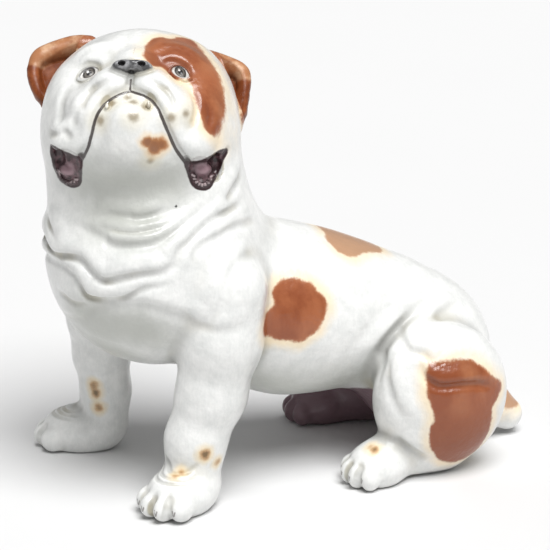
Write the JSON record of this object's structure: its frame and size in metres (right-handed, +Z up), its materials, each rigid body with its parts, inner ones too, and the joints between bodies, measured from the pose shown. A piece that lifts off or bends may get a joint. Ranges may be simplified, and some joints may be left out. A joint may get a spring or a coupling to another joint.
{
  "type": "seated bulldog figurine",
  "caption": "Free-standing glazed earthenware figure of a seated bulldog, head raised and turned to its left, with painted russet patches; ornament that rests on its feet and rump.",
  "frame": {"origin": "middle of the footprint box on the surface that the figure stands on", "axes": "+Z up, the dog's body faces -Y, its own left is +X; the head looks over the left shoulder"},
  "size_m": [0.1236, 0.2292, 0.2028],
  "materials": {
    "white_glaze": "clear glossy glaze over white earthenware with hand-painted patches",
    "russet_glaze": "clear glossy glaze over russet underglaze paint"
  },
  "bodies": {
    "root": {"body_casting": "white_glaze", "head_casting": "white_glaze", "ear_left": "russet_glaze", "ear_right": "russet_glaze", "foreleg_left": "white_glaze", "foreleg_right": "white_glaze", "hind_leg_left": "white_glaze", "hind_leg_right": "white_glaze", "tail": "white_glaze"}
  },
  "joints": []
}
